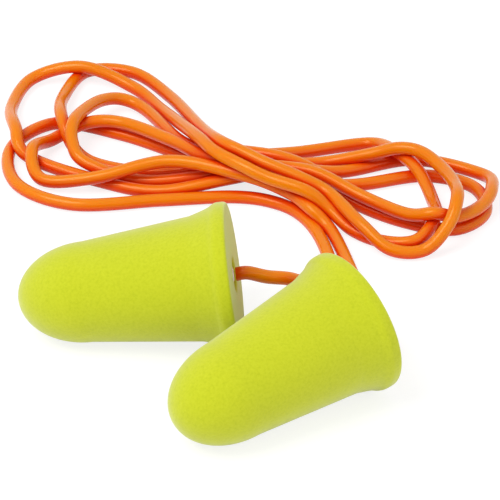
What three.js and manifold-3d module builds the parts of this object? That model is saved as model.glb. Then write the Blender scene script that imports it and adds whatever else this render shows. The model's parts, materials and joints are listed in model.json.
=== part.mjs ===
// A pair of foam ear plugs joined by one thin cord, lying on a flat surface with the cord
// gathered in a loose bundle behind them.
//
// Millimetres, +Z up. The origin is on the surface, under the middle of the two plugs.
// The left plug lies along X with its nose towards -X; the right plug lies in front of it.

import * as THREE from 'three';
import { mergeVertices } from 'three/addons/utils/BufferGeometryUtils.js';
import Module from 'manifold-3d';

const wasm = await Module();
wasm.setup();

// ---------------------------------------------------------------- driving dimensions

// foam plug, measured along its axis from the flat end face
const PLUG_LENGTH = 25;
const NOSE_LENGTH = 8;
const NOSE_RADIUS = 5.8;
const FLARE_LENGTH = 4.4;        // where the body starts to open into the skirt
const FLARE_RADIUS = 7.2;
const LIP_LENGTH = 1.9;
const LIP_RADIUS = 8.4;
const LIP_SHOULDER = 0.35;       // rounding of the lip's front edge
const LIP_ROUNDING = 0.5;        // rounding of the lip's back edge
const LIP_FLAT = 0.35;           // how far the soft lip is pressed flat by the surface
const NOSE_FLAT = 0.08;          // the same under the nose

// cord and its seat in the plug
const CORD_DIAMETER = 1.6;
const CORD_SIDES = 8;
const CORD_END_LENGTH = 8;       // length of cord inside each plug
const CORD_STRAIGHT = 1.5;       // straight stretch of cord out of each end face
const BOND_LENGTH = 6;
const BOND_WALL = 0.4;
const FIT_GAP = 0.3;             // clearance between pieces that touch
const BORE_END_GAP = 0.6;        // clearance past the buried end of the cord
const MOUTH_RADIUS = 2.4;        // dimple that the cord makes in the end face
const MOUTH_DEPTH = 0.7;

// where the plugs lie: middle of the end face, and the way the end face looks
const LEFT_FACE = new THREE.Vector2(3.1, 8.2);
const LEFT_HEADING = 0;
const RIGHT_FACE = new THREE.Vector2(16.9, -0.4);
const RIGHT_HEADING = 35;

const LATHE_SEGMENTS = 36;

// worked out from the values above
const CORD_RADIUS = CORD_DIAMETER / 2;
const BOND_INNER_RADIUS = CORD_RADIUS + FIT_GAP;
const BOND_OUTER_RADIUS = BOND_INNER_RADIUS + BOND_WALL;
const BORE_RADIUS = BOND_OUTER_RADIUS + FIT_GAP;
const BORE_DEPTH = CORD_END_LENGTH + BORE_END_GAP;

// Route of the free cord, from the right plug to the left one. Its two straight ends follow
// the plugs' end faces and are worked out below.
const CORD_ROUTE = [
  // down behind the right plug
  [19, 2.5, 7.8], [18.9, 5, 5.9], [18.4, 8, 3.7], [17.7, 12.5, 1.6], [17, 18, 0.9], [14.7, 27, 0.9],
  // left along the front of the bundle
  [12, 30.1, 2.4], [9.2, 33.4, 2.6], [4, 35.3, 3.7], [-5, 38, 3.9], [-14, 36.9, 2.2],
  // first left turn
  [-20.5, 38, 1.2], [-21.9, 42.5, 2.6], [-19.6, 46.9, 1.2], [-15.5, 48.8, 2.4], [-11, 48.4, 2.7], [-5, 43.8, 3.2],
  // right
  [0, 39, 3.7], [6, 36.9, 4.1], [12.5, 35.3, 4.1], [18.4, 32.1, 2.7], [23.6, 28.2, 2.8],
  [26.8, 26.9, 3.8],
  // first right turn
  [29.6, 27.6, 2.9], [32.5, 30.4, 2.4], [34.1, 34.5, 2.2], [33.3, 39.4, 1], [25, 43, 0.8],
  // left
  [16, 40, 1], [9, 38.4, 2.5], [2, 36.6, 2.2], [-6, 35.9, 0.9],
  // second left turn
  [-13, 38, 0.8], [-22.4, 43, 1.2], [-24.2, 47.3, 2.7], [-25.1, 54.5, 1.1], [-22.8, 61.3, 1.1],
  [-16.5, 61.8, 2.5], [-10, 59.3, 1],
  // right
  [-6.2, 53.8, 1.1], [-1.7, 42.1, 4.9], [0.6, 37.6, 5.6], [3.8, 34.7, 5.5], [7, 33, 4.8],
  [11.6, 31.2, 4.1], [14.2, 30.1, 2.4],
  // second right turn
  [17.1, 27.5, 1], [20.8, 25.3, 0.8], [24.7, 24.9, 1.3], [27, 28.2, 2.4], [26.8, 33.5, 1.6], [25.2, 38.4, 2.5],
  [22.6, 42.4, 2.5], [19.5, 46.3, 1],
  // left
  [11, 44.5, 0.9], [3, 40.8, 2.5], [-5, 39.8, 1],
  // third left turn
  [-12.5, 41.3, 0.8], [-16.5, 44.4, 1], [-18.5, 48.8, 3.2], [-18.7, 56.2, 1.5], [-16, 63.4, 0.8], [-10, 62.9, 0.9],
  [-5.2, 57, 1],
  // right, on top
  [-1.1, 45.4, 3.8], [1.3, 39.3, 5.9], [3.9, 36.9, 6], [6.8, 35.1, 5.5], [10.8, 33.4, 4.6], [14.4, 31.7, 3.4],
  // third right turn
  [18.1, 26.3, 2.6], [21.5, 23.3, 1.1], [25.6, 23.2, 1.1], [28.4, 24.9, 3.6], [29.5, 27.8, 5.4], [29.4, 32, 4.6],
  [28.2, 36, 4.1],
  // left
  [25.8, 39.3, 4.3], [23, 40.7, 4], [19.4, 41.4, 2.6], [13, 42, 0.9], [5, 39.4, 2.5], [-2, 37.9, 1.6],
  // fourth left turn
  [-9, 38.3, 0.9], [-15.4, 40.7, 2], [-17, 43.4, 3.1], [-17, 46.2, 4.1], [-15.8, 50, 3.5],
  [-13.7, 53.9, 2.5], [-11.1, 55.5, 1.6],
  // right
  [-8.2, 53.6, 1.2], [-4.3, 45.8, 2.2], [-1.8, 43, 2.6], [1, 40.5, 4], [8.5, 38.3, 4.3], [13.3, 36.9, 2.7],
  [17, 33.7, 1],
  // fourth right turn
  [23, 29.7, 0.8], [29.3, 27.9, 0.8], [33.2, 31.5, 0.8], [32, 37, 0.8],
  // left, on the surface
  [26, 39.4, 0.8], [17, 37.3, 0.8], [8, 38.2, 0.8], [-2, 43.2, 0.8],
  // fifth left turn
  [-11, 48.6, 0.8], [-19.5, 51.2, 0.8], [-24.7, 45.5, 0.8], [-23.5, 37.5, 0.8], [-16.5, 33.2, 0.8],
  // round to the left plug
  [-6, 34.1, 0.8], [3, 34.8, 0.8], [8.2, 33.4, 0.8], [11.5, 30.2, 0.8], [13.6, 24.8, 0.8], [14.5, 18, 1],
  [12.8, 12, 3.6], [9.6, 8.9, 7], [6.8, 8.4, 7.7],
];

// ---------------------------------------------------------------- materials

const foam = () => new THREE.MeshStandardMaterial({ color: 0xd9e24a, roughness: 0.9, metalness: 0 });
const cordVinyl = () => new THREE.MeshStandardMaterial({ color: 0xee7a12, roughness: 0.3, metalness: 0 });
const adhesive = () => new THREE.MeshStandardMaterial({ color: 0xe8e0b8, roughness: 0.4, metalness: 0 });

// ---------------------------------------------------------------- boolean helpers

function toSolid(geometry) {
  const bare = geometry.clone();
  bare.deleteAttribute('normal');
  bare.deleteAttribute('uv');
  const merged = mergeVertices(bare, 1e-5);
  return new wasm.Manifold(new wasm.Mesh({
    numProp: 3,
    vertProperties: new Float32Array(merged.attributes.position.array),
    triVerts: new Uint32Array(merged.index.array),
  }));
}

function toGeometry(solid) {
  const mesh = solid.getMesh();
  const geometry = new THREE.BufferGeometry();
  geometry.setAttribute('position', new THREE.BufferAttribute(mesh.vertProperties, 3));
  geometry.setIndex(new THREE.BufferAttribute(mesh.triVerts, 1));
  geometry.computeVertexNormals();
  return geometry;
}

// ---------------------------------------------------------------- shapes
// Every plug piece is turned about its own Y axis, with the end face at y = 0 and the nose
// at y = -PLUG_LENGTH.

// Outside of the foam, from the tip of the nose to the edge of the end face.
function foamOutline() {
  const outline = new THREE.Path();
  outline.moveTo(0, -PLUG_LENGTH);
  outline.absellipse(0, NOSE_LENGTH - PLUG_LENGTH, NOSE_RADIUS, NOSE_LENGTH, -Math.PI / 2, 0, false, 0);
  outline.lineTo(FLARE_RADIUS, -FLARE_LENGTH);
  outline.quadraticCurveTo(
    (FLARE_RADIUS + LIP_RADIUS) / 2, -LIP_LENGTH - LIP_SHOULDER,
    LIP_RADIUS - LIP_SHOULDER, -LIP_LENGTH,
  );
  outline.quadraticCurveTo(LIP_RADIUS, -LIP_LENGTH, LIP_RADIUS, LIP_SHOULDER - LIP_LENGTH);
  outline.lineTo(LIP_RADIUS, -LIP_ROUNDING);
  outline.quadraticCurveTo(LIP_RADIUS, 0, LIP_RADIUS - LIP_ROUNDING, 0);
  return outline;
}

// The whole section of the foam: its outside, the end face, and the blind bore for the cord.
function foamSection() {
  const outline = foamOutline();
  outline.lineTo(MOUTH_RADIUS, 0);
  outline.quadraticCurveTo(BORE_RADIUS, 0, BORE_RADIUS, -MOUTH_DEPTH);
  outline.lineTo(BORE_RADIUS, -BORE_DEPTH);
  outline.lineTo(0, -BORE_DEPTH);
  return outline.getPoints(4);
}

function tube(innerRadius, outerRadius, low, high) {
  const corners = [[innerRadius, low], [outerRadius, low], [outerRadius, high], [innerRadius, high], [innerRadius, low]];
  return new THREE.LatheGeometry(corners.map(([r, y]) => new THREE.Vector2(r, y)), LATHE_SEGMENTS / 2);
}

function rod(radius, low, high, sides) {
  const corners = [[0, low], [radius, low], [radius, high], [0, high]];
  return new THREE.LatheGeometry(corners.map(([r, y]) => new THREE.Vector2(r, y)), sides);
}

// ---------------------------------------------------------------- how a plug lies

// Height of the lowest point of some of the outline, with the plug tilted, relative to the
// middle of its end face.
function lowestPoint(points, tilt) {
  return Math.min(...points.map((p) => p.y * Math.sin(tilt) - p.x * Math.cos(tilt)));
}

// A plug lies on its lip and on its nose. The tilt is found by halving.
function restingPose() {
  const points = foamOutline().getPoints(40);
  const nose = points.filter((p) => p.y < -PLUG_LENGTH / 2);
  const lip = points.filter((p) => p.y >= -PLUG_LENGTH / 2);
  let low = 0;
  let high = Math.PI / 4;
  for (let step = 0; step < 40; step++) {
    const tilt = (low + high) / 2;
    const noseAboveLip = lowestPoint(nose, tilt) - lowestPoint(lip, tilt);
    if (noseAboveLip > LIP_FLAT - NOSE_FLAT) low = tilt;
    else high = tilt;
  }
  const tilt = (low + high) / 2;
  return { tilt, faceHeight: -LIP_FLAT - lowestPoint(lip, tilt) };
}

const { tilt: PLUG_TILT, faceHeight: FACE_HEIGHT } = restingPose();

// Matrix that carries a plug from its own frame to the place where it lies.
function plugPlacement(face, headingDegrees) {
  const heading = THREE.MathUtils.degToRad(headingDegrees);
  const along = new THREE.Vector3(
    Math.cos(heading) * Math.cos(PLUG_TILT),
    Math.sin(heading) * Math.cos(PLUG_TILT),
    Math.sin(PLUG_TILT),
  );
  const sideways = new THREE.Vector3(-Math.sin(heading), Math.cos(heading), 0);
  const across = new THREE.Vector3().crossVectors(sideways, along);
  return new THREE.Matrix4()
    .makeBasis(sideways, along, across)
    .setPosition(face.x, face.y, FACE_HEIGHT);
}

function cutAtSurface(geometry, placement) {
  const reach = 4 * PLUG_LENGTH;
  const ground = new THREE.BoxGeometry(reach, reach, reach);
  ground.translate(0, 0, -reach / 2);
  const inverse = placement.clone().invert();
  ground.translate(placement.elements[12], placement.elements[13], 0);
  ground.applyMatrix4(inverse);
  return toGeometry(toSolid(geometry).subtract(toSolid(ground)));
}

// ---------------------------------------------------------------- sub-parts

function namedMesh(name, geometry, material) {
  const mesh = new THREE.Mesh(geometry, material);
  mesh.name = name;
  return mesh;
}

// One foam plug with the end of the cord and the adhesive that holds it.
function plug(side, face, headingDegrees) {
  const placement = plugPlacement(face, headingDegrees);
  const group = new THREE.Group();
  group.applyMatrix4(placement);

  const body = new THREE.LatheGeometry(foamSection(), LATHE_SEGMENTS);
  group.add(namedMesh(`${side}_foam_plug`, cutAtSurface(body, placement), foam()));

  const endFace = -FIT_GAP / 2;
  const cordEnd = rod(CORD_RADIUS, endFace - CORD_END_LENGTH, endFace, 2 * CORD_SIDES);
  group.add(namedMesh(`${side}_cord_end`, cordEnd, cordVinyl()));

  const bondTop = -MOUTH_DEPTH - FIT_GAP;
  const bond = tube(BOND_INNER_RADIUS, BOND_OUTER_RADIUS, bondTop - BOND_LENGTH, bondTop);
  group.add(namedMesh(`${side}_bond_sleeve`, bond, adhesive()));
  return group;
}

// A point straight out of a plug's end face, where the free cord starts or ends.
function outOfFace(face, headingDegrees, distance) {
  return new THREE.Vector3(0, distance, 0).applyMatrix4(plugPlacement(face, headingDegrees));
}

// The smooth route with one section of the tube at each of its points, so that the tight
// turns get the short steps.
class CordCurve extends THREE.CatmullRomCurve3 {
  getPointAt(u, target) {
    return this.getPoint(u, target);
  }

  getTangentAt(u, target) {
    return this.getTangent(u, target);
  }
}

function cord() {
  const points = [
    outOfFace(RIGHT_FACE, RIGHT_HEADING, FIT_GAP / 2),
    outOfFace(RIGHT_FACE, RIGHT_HEADING, CORD_STRAIGHT),
    ...CORD_ROUTE.map(([x, y, z]) => new THREE.Vector3(x, y, z)),
    outOfFace(LEFT_FACE, LEFT_HEADING, CORD_STRAIGHT),
    outOfFace(LEFT_FACE, LEFT_HEADING, FIT_GAP / 2),
  ];
  const route = new CordCurve(points, false, 'catmullrom', 0.5);
  const section = new THREE.Shape();
  for (let side = 0; side < CORD_SIDES; side++) {
    const angle = (2 * Math.PI * side) / CORD_SIDES;
    const corner = [CORD_RADIUS * Math.cos(angle), CORD_RADIUS * Math.sin(angle)];
    if (side === 0) section.moveTo(...corner);
    else section.lineTo(...corner);
  }
  section.closePath();
  return new THREE.ExtrudeGeometry(section, {
    steps: points.length - 1,
    extrudePath: route,
    bevelEnabled: false,
  });
}

// ---------------------------------------------------------------- assembly

const earPlugs = new THREE.Group();
earPlugs.add(plug('left', LEFT_FACE, LEFT_HEADING));
earPlugs.add(plug('right', RIGHT_FACE, RIGHT_HEADING));
earPlugs.add(namedMesh('cord', cord(), cordVinyl()));

export default earPlugs;
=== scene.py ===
"""Looks for a pair of corded foam ear plugs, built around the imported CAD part.

Everything is in metres. The plugs' places come from the frame, and the cord's route is the one
that the CAD part follows.
"""

import json
import math

import bmesh
import bpy
import numpy as np
from mathutils import Matrix, Vector


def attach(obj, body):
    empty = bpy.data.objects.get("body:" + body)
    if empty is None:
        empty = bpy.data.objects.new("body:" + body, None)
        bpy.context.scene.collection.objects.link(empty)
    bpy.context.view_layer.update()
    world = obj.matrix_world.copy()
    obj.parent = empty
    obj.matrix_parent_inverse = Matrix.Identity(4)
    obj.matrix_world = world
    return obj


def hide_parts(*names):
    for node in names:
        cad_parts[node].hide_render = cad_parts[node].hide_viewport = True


MM = 0.001

# ---------------------------------------------------------------- sizes of the plugs and the cord

CORD_DIAMETER = 1.6 * MM
CORD_STRAIGHT = 1.5 * MM

PLUG_LENGTH = 25 * MM
NOSE_LENGTH = 8 * MM
NOSE_RADIUS = 5.8 * MM
FLARE_LENGTH = 4.4 * MM
FLARE_RADIUS = 7.2 * MM
LIP_LENGTH = 1.9 * MM
LIP_RADIUS = 8.4 * MM
LIP_SHOULDER = 0.35 * MM
LIP_ROUNDING = 0.5 * MM

FIT_GAP = 0.3 * MM
BORE_RADIUS = 1.8 * MM
BORE_DEPTH = 8.6 * MM
MOUTH_RADIUS = 2.4 * MM
MOUTH_DEPTH = 0.7 * MM

# How many steps each stretch of the foam's outline and of the cord is divided into.
FOAM_RING_POINTS = 144
NOSE_STEPS = 28
TAPER_STEPS = 30
FLARE_STEPS = 10
LIP_BLEND_STEPS = 8
LIP_EDGE_STEPS = 3
ROUNDING_STEPS = 6
FACE_STEPS = 10
BORE_STEPS = 6
CORD_STEPS = 10
CORD_ROUNDNESS = 6

# How near another surface has to be for the cord to get painted shade there: a redder colour standing
# in for the shade deep in the bundle.
PAINTED_SHADE_REACH = 5 * MM

# The route of the free cord, in millimetres, from the right plug to the left one.
CORD_ROUTE = [
    # down behind the right plug
    (19, 2.5, 7.8), (18.9, 5, 5.9), (18.4, 8, 3.7), (17.7, 12.5, 1.6), (17, 18, 0.9),
    (14.7, 27, 0.9),
    # left along the front of the bundle
    (12, 30.1, 2.4), (9.2, 33.4, 2.6), (4, 35.3, 3.7), (-5, 38, 3.9), (-14, 36.9, 2.2),
    # first left turn
    (-20.5, 38, 1.2), (-21.9, 42.5, 2.6), (-19.6, 46.9, 1.2), (-15.5, 48.8, 2.4), (-11, 48.4, 2.7),
    (-5, 43.8, 3.2),
    # right
    (0, 39, 3.7), (6, 36.9, 4.1), (12.5, 35.3, 4.1), (18.4, 32.1, 2.7), (23.6, 28.2, 2.8),
    (26.8, 26.9, 3.8),
    # first right turn
    (29.6, 27.6, 2.9), (32.5, 30.4, 2.4), (34.1, 34.5, 2.2), (33.3, 39.4, 1), (25, 43, 0.8),
    # left
    (16, 40, 1), (9, 38.4, 2.5), (2, 36.6, 2.2), (-6, 35.9, 0.9),
    # second left turn
    (-13, 38, 0.8), (-22.4, 43, 1.2), (-24.2, 47.3, 2.7), (-25.1, 54.5, 1.1), (-22.8, 61.3, 1.1),
    (-16.5, 61.8, 2.5), (-10, 59.3, 1),
    # right
    (-6.2, 53.8, 1.1), (-1.7, 42.1, 4.9), (0.6, 37.6, 5.6), (3.8, 34.7, 5.5), (7, 33, 4.8),
    (11.6, 31.2, 4.1), (14.2, 30.1, 2.4),
    # second right turn
    (17.1, 27.5, 1), (20.8, 25.3, 0.8), (24.7, 24.9, 1.3), (27, 28.2, 2.4), (26.8, 33.5, 1.6),
    (25.2, 38.4, 2.5), (22.6, 42.4, 2.5), (19.5, 46.3, 1),
    # left
    (11, 44.5, 0.9), (3, 40.8, 2.5), (-5, 39.8, 1),
    # third left turn
    (-12.5, 41.3, 0.8), (-16.5, 44.4, 1), (-18.5, 48.8, 3.2), (-18.7, 56.2, 1.5), (-16, 63.4, 0.8),
    (-10, 62.9, 0.9), (-5.2, 57, 1),
    # right, on top
    (-1.1, 45.4, 3.8), (1.3, 39.3, 5.9), (3.9, 36.9, 6), (6.8, 35.1, 5.5), (10.8, 33.4, 4.6),
    (14.4, 31.7, 3.4),
    # third right turn
    (18.1, 26.3, 2.6), (21.5, 23.3, 1.1), (25.6, 23.2, 1.1), (28.4, 24.9, 3.6), (29.5, 27.8, 5.4),
    (29.4, 32, 4.6), (28.2, 36, 4.1),
    # left
    (25.8, 39.3, 4.3), (23, 40.7, 4), (19.4, 41.4, 2.6), (13, 42, 0.9), (5, 39.4, 2.5),
    (-2, 37.9, 1.6),
    # fourth left turn
    (-9, 38.3, 0.9), (-15.4, 40.7, 2), (-17, 43.4, 3.1), (-17, 46.2, 4.1), (-15.8, 50, 3.5),
    (-13.7, 53.9, 2.5), (-11.1, 55.5, 1.6),
    # right
    (-8.2, 53.6, 1.2), (-4.3, 45.8, 2.2), (-1.8, 43, 2.6), (1, 40.5, 4), (8.5, 38.3, 4.3),
    (13.3, 36.9, 2.7), (17, 33.7, 1),
    # fourth right turn
    (23, 29.7, 0.8), (29.3, 27.9, 0.8), (33.2, 31.5, 0.8), (32, 37, 0.8),
    # left, on the surface
    (26, 39.4, 0.8), (17, 37.3, 0.8), (8, 38.2, 0.8), (-2, 43.2, 0.8),
    # fifth left turn
    (-11, 48.6, 0.8), (-19.5, 51.2, 0.8), (-24.7, 45.5, 0.8), (-23.5, 37.5, 0.8), (-16.5, 33.2, 0.8),
    # round to the left plug
    (-6, 34.1, 0.8), (3, 34.8, 0.8), (8.2, 33.4, 0.8), (11.5, 30.2, 0.8), (13.6, 24.8, 0.8),
    (14.5, 18, 1), (12.8, 12, 3.6), (9.6, 8.9, 7), (6.8, 8.4, 7.7),
]

# ---------------------------------------------------------------- camera, floor and light

CAMERA_ELEVATION = math.radians(35)
CAMERA_DISTANCE = 420 * MM
CAMERA_AIM = Vector((4.85, 24.72, 0)) * MM
CAMERA_LENS = 253.9
CAMERA_SENSOR = 36
CAMERA_NEAREST = 0.01
CAMERA_FARTHEST = 10

FLOOR_SIZE = 4
FLOOR_COLOUR = 0.9
FLOOR_GLOW = 0.8
FLOOR_SHADE = 0.3
WORLD_LIGHT = 0.55

# Each lamp's place and width in metres, and its power in watts.
LAMPS = {
    "key": ((-0.25, -0.15, 0.5), 0.35, 1.9),
    "fill": ((0.45, -0.35, 0.35), 0.5, 0.5),
}


# ---------------------------------------------------------------- small helpers

def set_inputs(node, **values):
    """Sets a node's inputs by name, with _ for each space in the name."""
    for name, value in values.items():
        node.inputs[name.replace("_", " ")].default_value = value


def add_node(material, kind, **values):
    """A shader node of that kind with some of its inputs set."""
    node = material.node_tree.nodes.new(kind)
    set_inputs(node, **values)
    return node


def join(material, source, target):
    """Links one node's output to another's input."""
    material.node_tree.links.new(source, target)


def new_material(name):
    """A material, and its main shader."""
    material = bpy.data.materials.new(name)
    material.use_nodes = True
    return material, material.node_tree.nodes["Principled BSDF"]


def add_texture(material, kind, **values):
    """A texture node of that kind, laid out in the object's own space."""
    place = add_node(material, "ShaderNodeTexCoord")
    texture = add_node(material, kind, **values)
    join(material, place.outputs["Object"], texture.inputs["Vector"])
    return texture


def ramp(material, factor, stops):
    """A colour ramp with these (position, colour) stops."""
    node = add_node(material, "ShaderNodeValToRGB")
    elements = node.color_ramp.elements
    while len(elements) < len(stops):
        elements.new(0.5)
    for element, (position, colour) in zip(elements, stops):
        element.position = position
        element.color = (*colour, 1)
    join(material, factor, node.inputs["Fac"])
    return node.outputs["Color"]


def multiply(material, colour, tint, amount):
    """The colour multiplied by the tint, as far as the amount says."""
    mix = add_node(material, "ShaderNodeMix")
    mix.data_type = "RGBA"
    mix.blend_type = "MULTIPLY"
    mix.inputs["Factor"].default_value = amount
    join(material, colour, mix.inputs["A"])
    join(material, tint, mix.inputs["B"])
    return mix.outputs["Result"]


def add_object(name, data):
    """A new object in the scene."""
    added = bpy.data.objects.new(name, data)
    bpy.context.collection.objects.link(added)
    return added


def point_along(direction):
    """The turn that makes a camera or a lamp face that way."""
    return direction.to_track_quat("-Z", "Y").to_euler()


# ---------------------------------------------------------------- materials

def cord_material():
    """Soft orange vinyl with painted shade: bright in the open, and painted redder where other
    strands are near, deep in the bundle.
    """
    material, shader = new_material("orange_vinyl")
    # Painted shade: an ambient-occlusion node turns the orange redder between the strands, where
    # shade falls.
    painted_shade = add_node(material, "ShaderNodeAmbientOcclusion", Distance=PAINTED_SHADE_REACH)
    painted_shade.samples = 8
    orange = ramp(material, painted_shade.outputs["AO"], [
        (0.0, (0.74, 0.018, 0.003)),
        (0.5, (0.82, 0.065, 0.002)),
        (0.95, (0.86, 0.235, 0.002)),
    ])
    cloud = add_texture(material, "ShaderNodeTexNoise", Scale=260.0, Detail=2.0)
    clouding = ramp(material, cloud.outputs["Fac"], [
        (0.3, (0.92, 0.88, 0.8)),
        (0.7, (1.0, 1.0, 1.0)),
    ])
    join(material, multiply(material, orange, clouding, 0.25), shader.inputs["Base Color"])
    set_inputs(
        shader,
        Subsurface_Weight=0.35,
        Subsurface_Radius=(1.0, 0.35, 0.05),
        Subsurface_Scale=0.7 * MM,
        Roughness=0.2,
        Specular_IOR_Level=0.4,
        Specular_Tint=(1.0, 0.72, 0.4, 1.0),
        IOR=1.5,
    )
    return material


def foam_material():
    """Yellow-green slow-recovery foam with a fine porous skin."""
    material, shader = new_material("soft_foam")
    mottle = add_texture(material, "ShaderNodeTexNoise", Scale=3200.0, Detail=3.0, Roughness=0.6)
    broad = add_texture(material, "ShaderNodeTexNoise", Scale=160.0, Detail=3.0)
    pores = add_texture(material, "ShaderNodeTexVoronoi", Scale=4200.0)
    yellow = ramp(material, mottle.outputs["Fac"], [
        (0.25, (0.54, 0.60, 0.006)),
        (0.5, (0.60, 0.65, 0.012)),
        (0.75, (0.63, 0.68, 0.02)),
    ])
    shading = ramp(material, broad.outputs["Fac"], [
        (0.35, (0.95, 0.97, 0.85)),
        (0.65, (1.0, 1.0, 1.0)),
    ])
    join(material, multiply(material, yellow, shading, 0.35), shader.inputs["Base Color"])

    dents = add_node(material, "ShaderNodeBump", Strength=0.3, Distance=0.04 * MM)
    grain = add_node(material, "ShaderNodeBump", Strength=0.25, Distance=0.04 * MM)
    join(material, pores.outputs["Distance"], dents.inputs["Height"])
    join(material, mottle.outputs["Fac"], grain.inputs["Height"])
    join(material, dents.outputs["Normal"], grain.inputs["Normal"])
    join(material, grain.outputs["Normal"], shader.inputs["Normal"])
    set_inputs(
        shader,
        Roughness=0.85,
        Subsurface_Weight=0.5,
        Subsurface_Radius=(1.0, 0.9, 0.25),
        Subsurface_Scale=1.0 * MM,
        Specular_IOR_Level=0.25,
        Sheen_Weight=0.6,
        Sheen_Roughness=0.45,
    )
    return material


def adhesive_material():
    """Set adhesive between the cord and the foam: pale, glossy and a little uneven."""
    material, shader = new_material("set_adhesive")
    streaks = add_texture(material, "ShaderNodeTexNoise", Scale=700.0, Detail=3.0)
    pale = ramp(material, streaks.outputs["Fac"], [
        (0.3, (0.70, 0.64, 0.42)),
        (0.7, (0.84, 0.80, 0.62)),
    ])
    uneven = add_node(material, "ShaderNodeBump", Strength=0.4, Distance=0.05 * MM)
    join(material, pale, shader.inputs["Base Color"])
    join(material, streaks.outputs["Fac"], uneven.inputs["Height"])
    join(material, uneven.outputs["Normal"], shader.inputs["Normal"])
    set_inputs(shader, Roughness=0.3)
    return material


# ---------------------------------------------------------------- places from the frame

def plug_placement(side):
    """Matrix from a plug's own frame (+Y out of its end face) to where the CAD plug lies."""
    cord_end = frame["nodes"][f"{side}_cord_end"]
    # The cord's end is a long thin rod, so its points spread most along the plug's axis.
    points = np.array([vertex.co for vertex in cord_end.data.vertices])
    centre = points.mean(axis=0)
    along = Vector(np.linalg.svd(points - centre)[2][0])
    hinge = next(joint for joint in frame["joints"] if joint["name"] == f"{side}_plug_swing")
    face = Vector(hinge["pos_m"])
    if along.dot(face - Vector(centre)) < 0:
        along = -along
    sideways = Vector((0, 0, 1)).cross(along).normalized()
    across = sideways.cross(along)
    turned = Matrix((sideways, along, across)).transposed().to_4x4()
    return Matrix.Translation(face) @ turned


def out_of_face(side, distance):
    """The point on a plug's axis that far out of its end face."""
    return plug_placement(side) @ Vector((0, distance, 0))


# ---------------------------------------------------------------- cord

def route_points():
    """The cord's points in metres, with the straight stretch out of each plug."""
    return [
        out_of_face("right", FIT_GAP / 2),
        out_of_face("right", CORD_STRAIGHT),
        *(Vector(point) * MM for point in CORD_ROUTE),
        out_of_face("left", CORD_STRAIGHT),
        out_of_face("left", FIT_GAP / 2),
    ]


def smooth_curve(name, points):
    """A curve that passes through the points with no corner at any of them."""
    curve = bpy.data.curves.new(name, "CURVE")
    curve.dimensions = "3D"
    curve.resolution_u = CORD_STEPS
    spline = curve.splines.new("BEZIER")
    spline.bezier_points.add(len(points) - 1)
    before = [2 * points[0] - points[1], *points[:-1]]
    after = [*points[1:], 2 * points[-1] - points[-2]]
    for bezier, last, here, following in zip(spline.bezier_points, before, points, after):
        handle = (following - last) / 6
        bezier.handle_left_type = bezier.handle_right_type = "FREE"
        bezier.co = here
        bezier.handle_left = here - handle
        bezier.handle_right = here + handle
    return curve


def make_cord(material):
    """The free cord, as one soft tube from plug to plug."""
    points = route_points()
    curve = smooth_curve("vinyl_cord", points)
    curve.bevel_depth = CORD_DIAMETER / 2
    curve.bevel_resolution = CORD_ROUNDNESS
    curve.use_fill_caps = True
    curve.materials.append(material)
    cord = add_object("vinyl_cord", curve)
    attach(cord, "cord_run")
    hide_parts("cord")


# ---------------------------------------------------------------- foam

def arc(start, bend, end, steps):
    """Points on a quadratic curve, without its first point."""
    points = []
    for i in range(1, steps + 1):
        t = i / steps
        points.append(tuple(
            (1 - t) ** 2 * a + 2 * t * (1 - t) * b + t * t * c
            for a, b, c in zip(start, bend, end)))
    return points


def straight(start, end, steps):
    """Points on a straight line, without its first point."""
    return [tuple(a + (b - a) * i / steps for a, b in zip(start, end)) for i in range(1, steps + 1)]


def nose_profile():
    """The rounded nose, from its tip."""
    nose_end = NOSE_LENGTH - PLUG_LENGTH
    angles = [math.pi / 2 * i / NOSE_STEPS for i in range(NOSE_STEPS + 1)]
    return [(NOSE_RADIUS * math.sin(a), nose_end - NOSE_LENGTH * math.cos(a)) for a in angles]


def foam_profile():
    """(radius, place along the axis) from the tip of the nose to the bottom of the bore."""
    flare = (FLARE_RADIUS, -FLARE_LENGTH)
    bend = ((FLARE_RADIUS + LIP_RADIUS) / 2, -LIP_LENGTH - LIP_SHOULDER)
    shoulder = (LIP_RADIUS - LIP_SHOULDER, -LIP_LENGTH)
    # The edge carries on the flare's last slope, so that the lip runs on from it with no crease.
    slope = (shoulder[1] - bend[1]) / (shoulder[0] - bend[0])
    edge = (LIP_RADIUS, shoulder[1] + LIP_SHOULDER * slope)

    profile = nose_profile()
    profile += straight(profile[-1], flare, TAPER_STEPS)
    profile += arc(flare, bend, shoulder, FLARE_STEPS)
    profile += arc(shoulder, edge, (LIP_RADIUS, edge[1] + LIP_SHOULDER), LIP_BLEND_STEPS)
    profile += straight(profile[-1], (LIP_RADIUS, -LIP_ROUNDING), LIP_EDGE_STEPS)
    profile += arc(profile[-1], (LIP_RADIUS, 0), (LIP_RADIUS - LIP_ROUNDING, 0), ROUNDING_STEPS)
    profile += straight(profile[-1], (MOUTH_RADIUS, 0), FACE_STEPS)
    profile += arc(profile[-1], (BORE_RADIUS, 0), (BORE_RADIUS, -MOUTH_DEPTH), ROUNDING_STEPS)
    profile += straight(profile[-1], (BORE_RADIUS, -BORE_DEPTH), BORE_STEPS)
    profile.append((0, -BORE_DEPTH))
    return profile


def turned_shape(profile):
    """The profile turned round the Y axis, closed where it starts and ends on the axis."""
    shape = bmesh.new()
    angles = [2 * math.pi * i / FOAM_RING_POINTS for i in range(FOAM_RING_POINTS)]
    rings = []
    for radius, along in profile:
        around = angles if radius > 0 else [0]
        rings.append([
            shape.verts.new((radius * math.sin(a), along, radius * math.cos(a))) for a in around
        ])
    for low, high in zip(rings, rings[1:]):
        for i in range(FOAM_RING_POINTS):
            j = i + 1
            corners = [low[i % len(low)], low[j % len(low)], high[j % len(high)], high[i % len(high)]]
            shape.faces.new(list(dict.fromkeys(corners)))
    bmesh.ops.recalc_face_normals(shape, faces=shape.faces)
    return shape


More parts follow.
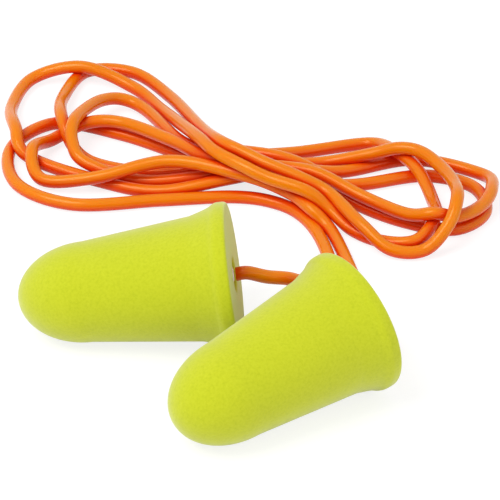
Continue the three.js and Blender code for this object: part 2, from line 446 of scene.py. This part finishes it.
def make_foam(side, material):
    """A foam plug, flat where its soft lip and nose rest on the surface."""
    shape = turned_shape(foam_profile())
    shape.transform(plug_placement(side))
    for vertex in shape.verts:
        vertex.co.z = max(vertex.co.z, 0)
    mesh = bpy.data.meshes.new(f"{side}_soft_foam")
    shape.to_mesh(mesh)
    shape.free()
    mesh.materials.append(material)
    for polygon in mesh.polygons:
        polygon.use_smooth = True
    foam = add_object(f"{side}_soft_foam", mesh)
    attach(foam, f"{side}_plug")
    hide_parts(f"{side}_foam_plug")


def finish_inside(side, cord_finish, bond_finish):
    """Gives the CAD's own pieces inside a plug's bore their materials."""
    for node_name, finish in (("cord_end", cord_finish), ("bond_sleeve", bond_finish)):
        materials = frame["nodes"][f"{side}_{node_name}"].data.materials
        materials.clear()
        materials.append(finish)


# ---------------------------------------------------------------- stage

def make_camera():
    """A long-lens camera that looks down at the pair from the front."""
    data = bpy.data.cameras.new("camera")
    data.lens = CAMERA_LENS
    data.sensor_width = CAMERA_SENSOR
    data.clip_start = CAMERA_NEAREST
    data.clip_end = CAMERA_FARTHEST
    camera = add_object("camera", data)
    back = Vector((0, -math.cos(CAMERA_ELEVATION), math.sin(CAMERA_ELEVATION)))
    camera.location = CAMERA_AIM + back * CAMERA_DISTANCE
    camera.rotation_euler = point_along(-back)
    bpy.context.scene.camera = camera


def make_lamp(name, place, width, power):
    """A round soft lamp that faces the origin."""
    data = bpy.data.lights.new(name, "AREA")
    data.shape = "DISK"
    data.size = width
    data.energy = power
    lamp = add_object(name, data)
    lamp.location = place
    lamp.rotation_euler = point_along(-Vector(place))


def seen_directly(tree):
    """1 where the camera, a reflection or a see-through piece looks straight at the surface."""
    path = tree.nodes.new("ShaderNodeLightPath")
    total = path.outputs["Is Camera Ray"]
    for name in ("Is Glossy Ray", "Is Transmission Ray"):
        either = tree.nodes.new("ShaderNodeMath")
        either.operation = "MAXIMUM"
        tree.links.new(total, either.inputs[0])
        tree.links.new(path.outputs[name], either.inputs[1])
        total = either.outputs[0]
    return total


def choose_shader(tree, lighting, seen, output):
    """Joins one shader for the light on the object, and another for what is seen directly."""
    choice = tree.nodes.new("ShaderNodeMixShader")
    for source, target in zip((seen_directly(tree), lighting, seen), choice.inputs):
        tree.links.new(source, target)
    tree.links.new(choice.outputs[0], tree.nodes[output].inputs["Surface"])


def make_floor():
    """A pale floor that looks white and keeps a faint soft shadow."""
    bpy.ops.mesh.primitive_plane_add(size=FLOOR_SIZE)
    floor = bpy.context.object
    floor.name = "floor"
    material, shader = new_material("pale_floor")
    set_inputs(shader, Base_Color=(FLOOR_COLOUR, FLOOR_COLOUR, FLOOR_COLOUR, 1), Roughness=0.9)
    glow = add_node(material, "ShaderNodeEmission", Strength=FLOOR_GLOW)
    grey = (FLOOR_SHADE, FLOOR_SHADE, FLOOR_SHADE, 1)
    shade = add_node(material, "ShaderNodeBsdfDiffuse", Color=grey)
    both = add_node(material, "ShaderNodeAddShader")
    join(material, glow.outputs[0], both.inputs[0])
    join(material, shade.outputs[0], both.inputs[1])
    choose_shader(material.node_tree, shader.outputs[0], both.outputs[0], "Material Output")
    floor.data.materials.append(material)


def make_world():
    """Soft even light from all round, and white where it is seen directly."""
    world = bpy.data.worlds.new("studio")
    world.use_nodes = True
    bpy.context.scene.world = world
    tree = world.node_tree
    light = tree.nodes["Background"]
    white = tree.nodes.new("ShaderNodeBackground")
    set_inputs(light, Color=(1, 1, 1, 1), Strength=WORLD_LIGHT)
    set_inputs(white, Color=(1, 1, 1, 1))
    choose_shader(tree, light.outputs[0], white.outputs[0], "World Output")


# ---------------------------------------------------------------- build

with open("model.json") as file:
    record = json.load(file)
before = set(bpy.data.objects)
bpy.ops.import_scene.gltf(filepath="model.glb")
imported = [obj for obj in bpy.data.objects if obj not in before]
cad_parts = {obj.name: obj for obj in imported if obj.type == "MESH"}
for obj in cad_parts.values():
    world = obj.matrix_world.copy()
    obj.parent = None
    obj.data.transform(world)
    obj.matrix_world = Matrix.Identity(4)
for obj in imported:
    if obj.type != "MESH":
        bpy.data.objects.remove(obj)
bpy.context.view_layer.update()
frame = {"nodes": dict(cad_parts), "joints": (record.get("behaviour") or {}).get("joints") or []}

make_camera()
orange = cord_material()
make_cord(orange)
yellow = foam_material()
clear = adhesive_material()
for plug_side in ("left", "right"):
    make_foam(plug_side, yellow)
    finish_inside(plug_side, orange, clear)

make_floor()
make_world()
for lamp_name, settings in LAMPS.items():
    make_lamp(lamp_name, *settings)
bpy.context.scene.view_settings.view_transform = "Standard"
